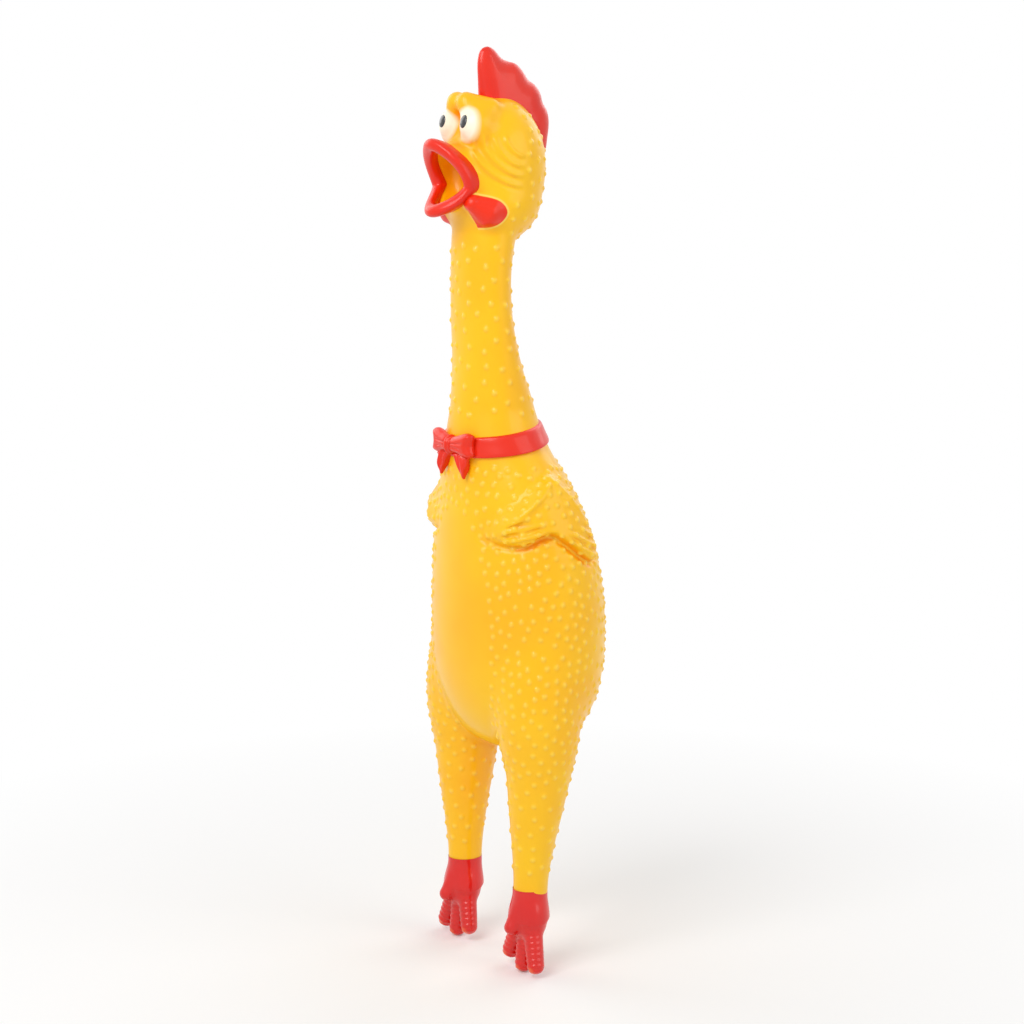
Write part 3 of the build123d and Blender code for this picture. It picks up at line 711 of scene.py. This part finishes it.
# ---------------------------------------------------------------- pupils
# Each pupil is an oval drop of gloss black paint, stamped by a pad on the front of the white.
# It dries as a low dome with a hard shine.
PUPIL_HALF_X, PUPIL_HALF_Z, PUPIL_DOME, PUPIL_SUNK = 2.5, 3.2, 0.5, 0.12
PUPIL_OUTWARD, PUPIL_TURN, PUPIL_UP = 0.0247, math.radians(12), math.radians(14)
PUPIL_RINGS, PUPIL_STEPS = 12, 48
black_gloss = moulded("pupil_black", colour(22, 22, 24), colour(34, 34, 38), 60.0, 1.0, 0.06)
for hand, sign in (("left", 1), ("right", -1)):
    centre = np.array((EYE[0] * sign, EYE[1], EYE[2]))
    ahead = np.array((sign * PUPIL_OUTWARD, -math.cos(PUPIL_TURN), math.sin(PUPIL_UP)))
    ahead /= np.linalg.norm(ahead)
    right = np.cross(ahead, (0, 0, 1))
    right /= np.linalg.norm(right)
    over = np.cross(right, ahead)
    rings = []
    for share in np.linspace(1, 0.02, PUPIL_RINGS):
        height = PUPIL_DOME * math.sqrt(1 - share**2) - PUPIL_SUNK
        ring = []
        for turn in np.arange(PUPIL_STEPS) * 2 * math.pi / PUPIL_STEPS:
            across, up = PUPIL_HALF_X * share * math.cos(turn), PUPIL_HALF_Z * share * math.sin(turn)
            way = ahead * EYE_R + right * across + over * up
            ring.append(centre + way / np.linalg.norm(way) * (EYE_R + height))
        rings.append(ring)
    points, faces = strip_faces(rings)
    piece = make_piece(f"pupil_gloss_{hand}", points, faces, normals_of(points, faces), black_gloss)
    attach(piece, "head")
    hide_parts(f"pupil_{hand}")

# ---------------------------------------------------------------- comb
# The comb is part of the same moulding, a pillow-edged fin with a tall rounded lobe in
# front and lower ones down its back, painted red down to the skull.
COMB_TOP_Z = box_mm("comb")[1][2]
COMB_OUTLINE = [
    (-18.6, 224), (-18.8, 232), (-19.2, 240), (-19.6, 247.5), (-18.4, 252.4), (-15.4, 254), (-12.2, 252.6),
    (-9, 249.4), (-5.6, 248), (-1.6, 247), (1.8, 244), (4.2, 240.6), (7.4, 238.6), (10.2, 235.4),
    (11.6, 231), (13.8, 227.6), (14.8, 222.6), (14.2, 216), (13.2, 210.4), (8, 210), (-6, 218),
]
COMB_LEVELS, COMB_HALF_X = [208, 214, 228, COMB_TOP_Z], [2.0, 4.8, 6.2, 3.6]
COMB_PILLOW, COMB_SWELL, COMB_STEEPNESS = 11.0, 0.4, 0.7
COMB_LOW, COMB_HIGH = (-8, -24, 204), (8, 20, 258)
COMB_EDGE = rounded(COMB_OUTLINE, 3)


def pillowed(flat, reach):
    """Thickness of a cushioned sheet, from 0 at its outline to 1 at a reach inside it."""
    return np.sqrt(np.maximum(1 - np.clip(1 + flat / reach, 0, 1) ** 2, 0.0))


def comb_distance(x, y, z):
    """The comb: its outline in y and z, thick in the middle and rounded off at the edge."""
    flat = outline_distance(y, z, COMB_EDGE) - COMB_SWELL
    half = curve(z, COMB_LEVELS, COMB_HALF_X) * pillowed(flat, COMB_PILLOW)
    return np.maximum(flat, (np.abs(x) - half) * COMB_STEEPNESS)


points, faces = surface_of(comb_distance, COMB_LOW, COMB_HIGH, FINE_STEP * 0.7)
points = settled(comb_distance, points, FINE_STEP * 0.5)
comb_paint = moulded("comb_red", colour(232, 44, 20), colour(220, 30, 12), 30.0, 0.3, 0.12)
comb_red = make_piece("comb_red", points, faces, normals_of(points, faces), comb_paint)
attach(comb_red, "head")
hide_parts("comb")

# ---------------------------------------------------------------- ribbon and bow
# A ribbon moulded round the foot of the neck stands proud of the skin and is painted red,
# with a folded bow at the throat.
RIBBON_CENTRE = np.array((0.0, -12.0, 88.6))
RIBBON_TILT = math.radians(8)
RIBBON_HALF_HEIGHT = 4.0
RIBBON_SECTION = [(-1.5, -4.0), (0.6, -4.2), (1.5, -3.6), (1.3, 0.0), (1.1, 3.4), (0.4, 4.1), (-1.5, 4.0)]
REACH_LIMITS, HALVINGS = (8.0, 40.0), 24


def skin_radius(turn, level):
    """Distance from the neck's axis out to the skin, square to the tilted ribbon."""
    near, far = REACH_LIMITS
    for _ in range(HALVINGS):
        middle = (near + far) / 2
        at = ribbon_point(turn, middle, level)
        if skin_distance(*(np.array([c]) for c in at))[0] < 0:
            near = middle
        else:
            far = middle
    return near


def ribbon_point(turn, reach, level):
    """A place on the tilted ribbon, at a turn, a reach from its axis and a level across it."""
    x, along = reach * math.cos(turn), reach * math.sin(turn)
    y = along * math.cos(RIBBON_TILT) - level * math.sin(RIBBON_TILT)
    z = along * math.sin(RIBBON_TILT) + level * math.cos(RIBBON_TILT)
    return RIBBON_CENTRE + (x, y, z)


section = rounded(RIBBON_SECTION, 3)
rings = []
for turn in np.arange(RIM_STEPS) * 2 * math.pi / RIM_STEPS:
    bottom, top = skin_radius(turn, -RIBBON_HALF_HEIGHT), skin_radius(turn, RIBBON_HALF_HEIGHT)
    ring = []
    for proud, level in section:
        share = (level + RIBBON_HALF_HEIGHT) / (2 * RIBBON_HALF_HEIGHT)
        ring.append(ribbon_point(turn, bottom + (top - bottom) * share + proud, level))
    rings.append(ring)
points, faces = closed_sheet(rings)
ribbon = make_piece("ribbon_red", points, faces[:, ::-1], normals_of(points, faces[:, ::-1]), red_paint)
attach(ribbon, "torso")
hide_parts("ribbon_band")

BOW_Y, BOW_Z = -34.2, 86.5
BOW_LOW, BOW_HIGH = (-18, -42, 70), (18, -28, 96)
KNOT_RADII, KNOT_GROOVE, KNOT_GROOVE_X = (3.0, 3.6, 4.4), 0.45, 1.0


def knot_distance(x, y, z):
    """The knot: a small ball with two upright folds."""
    knot = oval((x, y - BOW_Y, z - BOW_Z), (0, 0, 0), KNOT_RADII)
    return knot + KNOT_GROOVE * bump(np.abs(x) - KNOT_GROOVE_X, 0.45)


LOOP_OUTLINE = [
    (1.2, -2.4), (1.2, 2.8), (6, 4.6), (11.4, 6.0), (14.6, 5.0),
    (14.0, 0.6), (14.8, -3.6), (11, -4.6), (5.6, -3.4),
]
LOOP_EDGE = rounded(LOOP_OUTLINE, 3)
LOOP_HALF_Y, LOOP_PILLOW, LOOP_SWEEP = 2.9, 3.2, 0.1
UPPER_FOLD, LOWER_FOLD = 0.55, 0.4


def loops_distance(x, y, z):
    """Both loops: cushions that fan out from the knot, creased towards it."""
    side, rise = np.hypot(x, 0.3), z - BOW_Z
    flat = outline_distance(side, rise, LOOP_EDGE)
    half = LOOP_HALF_Y * pillowed(flat, LOOP_PILLOW)
    fan = (rise - 0.4) / (side + 3.0)
    folds = UPPER_FOLD * bump(fan - 0.08, 0.035) + LOWER_FOLD * bump(fan + 0.13, 0.03)
    folds = folds * ramp(-side, -13, -7)
    return np.maximum(flat, (np.abs(y - BOW_Y - LOOP_SWEEP * side) - half + folds) * 0.8)


RIBBON_TAIL_OUTLINE = [(1.6, 3.2), (5.0, 8.0), (9.2, 14.2), (11.8, 4.6), (8.0, 2.6)]
RIBBON_TAIL_HALF_Y, RIBBON_TAIL_FOLD, FOLD_GAP = 1.9, 0.5, 4.2


def tails_distance(x, y, z):
    """Both cut ends of the ribbon, hanging below the knot with a fold down each."""
    side, drop = np.abs(x), BOW_Z - z
    flat = outline_distance(side, drop, RIBBON_TAIL_OUTLINE)
    fold = RIBBON_TAIL_FOLD * np.cos((side - 0.35 * drop - 2.4) * 2 * math.pi / FOLD_GAP)
    return meet(flat, np.abs(y - BOW_Y - 1.6 + 0.06 * drop) - RIBBON_TAIL_HALF_Y - fold, 1.6)


BOW_PARTS = (("bow_knot", knot_distance), ("bow_loops", loops_distance), ("bow_tails", tails_distance))
for name, distance in BOW_PARTS:
    points, faces = surface_of(distance, BOW_LOW, BOW_HIGH, FINE_STEP * 0.6)
    points = settled(distance, points, FINE_STEP * 0.5)
    piece = make_piece(f"{name}_red", points, faces, normals_of(points, faces), red_paint)
    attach(piece, "torso")
    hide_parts(name)

# ---------------------------------------------------------------- feet
# Each foot is solid vinyl dipped in gloss red to a straight line at the ankle: three toes
# with cross scales on their tops, a spur at the front and paler nail tips.
SOLE_Z = box_mm("foot_left")[0][2]
FOOT_X, SHIN_END_Z = 27.0, -120.0
SHIN_Y, SHIN_HALF_X, SHIN_HALF_Y = -11.0, 7.2, 7.9
PALM, PALM_RADII = (27.2, -12.2, -122.5), (9.6, 7.8, 10.0)
TOE_ROOT_R, TOE_TIP_R, TOE_TIP_UP = 4.4, 3.8, 3.5
TOE_ROOT_Y, TOE_ROOT_Z, TOE_TIP_Y = -12.5, -123.0, -14.8
TOES = [(-3.8, -9.4, 3.5), (0.2, 0.6, 0.0), (4.0, 10.2, 1.8)]
SCALE_HEIGHT, SCALE_GAP = 0.13, 2.4
SPUR_ROOT, SPUR_TIP, SPUR_ROOT_R, SPUR_TIP_R = (27.0, -17.6, -118.0), (27.2, -20.8, -125.0), 2.6, 3.3
PAINT_LINE_Z, UNDER_VINYL = -108.5, 2.0
FOOT_LOW, FOOT_HIGH = (12, -27, SOLE_Z - 2), (43, 2, PAINT_LINE_Z)
NAIL_SPREAD, NAIL_Y, NAIL_UP, NAIL_RADII = 1.05, -16.8, 1.6, (1.9, 3.4, 2.4)
foot_paint = moulded("foot_red", colour(226, 24, 8), colour(212, 12, 6), 40.0, 0.6, 0.08)
mixed_by(foot_paint, "nail", 0.35, 1.0, colour(236, 92, 40))


def foot_distance(x, y, z):
    """The left foot, up to just under the yellow skin above the paint line."""
    p = (x, y, z)
    shin = stem(x - FOOT_X, y - SHIN_Y, SHIN_HALF_X, SHIN_HALF_Y)
    foot = join(np.maximum(shin, SHIN_END_Z - z), oval(p, PALM, PALM_RADII), 5.0)
    for root_x, tip_x, lift in TOES:
        root = (FOOT_X + root_x, TOE_ROOT_Y, TOE_ROOT_Z)
        tip = (FOOT_X + tip_x, TOE_TIP_Y, SOLE_Z + TOE_TIP_UP + lift)
        way = np.array(tip) - root
        along = sum((a - b) * c for a, b, c in zip(p, root, way)) / np.linalg.norm(way)
        scales = SCALE_HEIGHT * np.cos(along * 2 * math.pi / SCALE_GAP) * ramp(-y, 12, 15)
        foot = join(foot, round_cone(p, root, tip, TOE_ROOT_R, TOE_TIP_R) - scales, 1.4)
    foot = join(foot, round_cone(p, SPUR_ROOT, SPUR_TIP, SPUR_ROOT_R, SPUR_TIP_R), 2.0)
    return np.maximum(foot, z - PAINT_LINE_Z - UNDER_VINYL)


for hand, sign in (("left", 1), ("right", -1)):
    def own_foot(x, y, z, sign=sign):
        return foot_distance(x * sign, y, z)

    low, high = FOOT_LOW, FOOT_HIGH
    if sign < 0:
        low, high = (-FOOT_HIGH[0], *FOOT_LOW[1:]), (-FOOT_LOW[0], *FOOT_HIGH[1:])
    points, faces = surface_of(own_foot, low, high, FINE_STEP * 0.65)
    points = settled(own_foot, points, FINE_STEP * 0.5)
    keep = points[faces].mean(1)[:, 2] < PAINT_LINE_Z
    nail = np.zeros(len(points))
    for _, tip_x, lift in TOES:
        nail_middle = (sign * (FOOT_X + tip_x * NAIL_SPREAD), NAIL_Y, SOLE_Z + lift + NAIL_UP)
        away = np.linalg.norm((points - nail_middle) / NAIL_RADII, axis=1)
        nail = np.maximum(nail, np.clip(1.6 - away, 0, 1))
    normals = normals_of(points, faces)
    piece = make_piece(f"foot_red_{hand}", points, faces[keep], normals, foot_paint, {"nail": nail})
    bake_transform(piece)
    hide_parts(f"foot_{hand}", f"spur_{hand}")

# ---------------------------------------------------------------- voice box
# The squeaker is a hard plastic barrel pressed in behind the mouth, with a thin film reed.
# It is tinted like the vinyl, and the back wall of the mouth hides it.
squeaker = moulded("voice_plastic", colour(250, 178, 30), colour(240, 160, 20), 40.0, 0.2, 0.2)
film = moulded("reed_film", colour(245, 240, 225), colour(235, 228, 210), 40.0, 0.4, 0.1)
for name, material in (
    ("voice_barrel", squeaker),
    ("voice_grille", squeaker),
    ("voice_end_cap", squeaker),
    ("tone_board", squeaker),
    ("reed_wedge", squeaker),
    ("reed_root", film),
    ("reed_tongue", film),
):
    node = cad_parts[name]
    node.data.materials.clear()
    node.data.materials.append(material)

# ---------------------------------------------------------------- floor, light and camera
# The toy is held upright with its toes on a plain white floor, in soft studio light.
# The floor keeps the toy's shadow close by and goes over to plain white further out.
FLOOR_Z, FLOOR_HALF = SOLE_Z * MM, 4.0
FADE_START, FADE_END = 0.1, 0.42
floor_mesh = bpy.data.meshes.new("floor")
floor_corners = [(x * FLOOR_HALF, y * FLOOR_HALF, FLOOR_Z) for x, y in ((-1, -1), (1, -1), (1, 1), (-1, 1))]
floor_mesh.from_pydata(floor_corners, [], [(0, 1, 2, 3)])
floor = bpy.data.objects.new("floor", floor_mesh)
bpy.context.scene.collection.objects.link(floor)


def backdrop_share(nodes, links):
    """1 where a ray shows the backdrop: straight from the camera, mirrored or through clear film."""
    ray = nodes.new("ShaderNodeLightPath")
    camera_or_mirror, shown = nodes.new("ShaderNodeMath"), nodes.new("ShaderNodeMath")
    camera_or_mirror.operation = shown.operation = "MAXIMUM"
    links.new(ray.outputs["Is Camera Ray"], camera_or_mirror.inputs[0])
    links.new(ray.outputs["Is Glossy Ray"], camera_or_mirror.inputs[1])
    links.new(camera_or_mirror.outputs["Value"], shown.inputs[0])
    links.new(ray.outputs["Is Transmission Ray"], shown.inputs[1])
    return shown.outputs["Value"]


floor_paint = bpy.data.materials.new("floor_white")
floor_paint.use_nodes = True
nodes, links = floor_paint.node_tree.nodes, floor_paint.node_tree.links
nodes["Principled BSDF"].inputs["Base Color"].default_value = (0.9, 0.9, 0.9, 1)
nodes["Principled BSDF"].inputs["Roughness"].default_value = 0.7
place = nodes.new("ShaderNodeTexCoord")
reach = nodes.new("ShaderNodeVectorMath")
fade = nodes.new("ShaderNodeMapRange")
reach.operation = "LENGTH"
links.new(place.outputs["Object"], reach.inputs[0])
links.new(reach.outputs["Value"], fade.inputs["Value"])
fade.inputs["From Min"].default_value = FADE_START
fade.inputs["From Max"].default_value = FADE_END
white, blend = nodes.new("ShaderNodeEmission"), nodes.new("ShaderNodeMixShader")
both = nodes.new("ShaderNodeMath")
both.operation = "MULTIPLY"
links.new(fade.outputs["Result"], both.inputs[0])
links.new(backdrop_share(nodes, links), both.inputs[1])
links.new(both.outputs["Value"], blend.inputs["Fac"])
links.new(nodes["Principled BSDF"].outputs["BSDF"], blend.inputs[1])
links.new(white.outputs["Emission"], blend.inputs[2])
links.new(blend.outputs["Shader"], nodes["Material Output"].inputs["Surface"])
floor_mesh.materials.append(floor_paint)
floor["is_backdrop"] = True

world = bpy.data.worlds.new("studio")
bpy.context.scene.world = world
world.use_nodes = True
nodes, links = world.node_tree.nodes, world.node_tree.links
sky = nodes["Background"]
backdrop, pick = nodes.new("ShaderNodeBackground"), nodes.new("ShaderNodeMixShader")
sky.inputs["Color"].default_value = (1, 0.98, 0.95, 1)
sky.inputs["Strength"].default_value = 0.45
backdrop.inputs["Color"].default_value = (1, 1, 1, 1)
links.new(backdrop_share(nodes, links), pick.inputs["Fac"])
links.new(sky.outputs["Background"], pick.inputs[1])
links.new(backdrop.outputs["Background"], pick.inputs[2])
links.new(pick.outputs["Shader"], nodes["World Output"].inputs["Surface"])

CAMERA_AZIMUTH, CAMERA_ELEVATION = math.radians(57), math.radians(10)
CAMERA_DISTANCE, CAMERA_LENS = 1.06, 85
low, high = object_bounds()
middle = (low + high) / 2


def from_side(azimuth, elevation, reach):
    """A place round the toy: azimuth 0 is in front of its face, 90 at its left."""
    level = math.cos(elevation)
    way = Vector((math.sin(azimuth) * level, -math.cos(azimuth) * level, math.sin(elevation)))
    return middle + way * reach


for name, azimuth, elevation, reach, size, power in (
    ("key", 20, 40, 0.9, 0.5, 4.2),
    ("side", 115, 25, 1.0, 0.7, 2.4),
    ("back", 200, 35, 1.0, 0.7, 2.4),
    ("far_side", -70, 30, 1.0, 0.7, 2.2),
):
    lamp = bpy.data.lights.new(name, "AREA")
    lamp.energy, lamp.size = power, size
    holder = bpy.data.objects.new(name, lamp)
    bpy.context.scene.collection.objects.link(holder)
    holder.location = from_side(math.radians(azimuth), math.radians(elevation), reach)
    holder.rotation_euler = (middle - holder.location).to_track_quat("-Z", "Y").to_euler()

lens = bpy.data.cameras.new("camera")
lens.lens = CAMERA_LENS
camera = bpy.data.objects.new("camera", lens)
bpy.context.scene.collection.objects.link(camera)
camera.location = from_side(CAMERA_AZIMUTH, CAMERA_ELEVATION, CAMERA_DISTANCE)
camera.rotation_euler = (middle - camera.location).to_track_quat("-Z", "Y").to_euler()
bpy.context.scene.camera = camera
bpy.context.scene.view_settings.view_transform = "Standard"
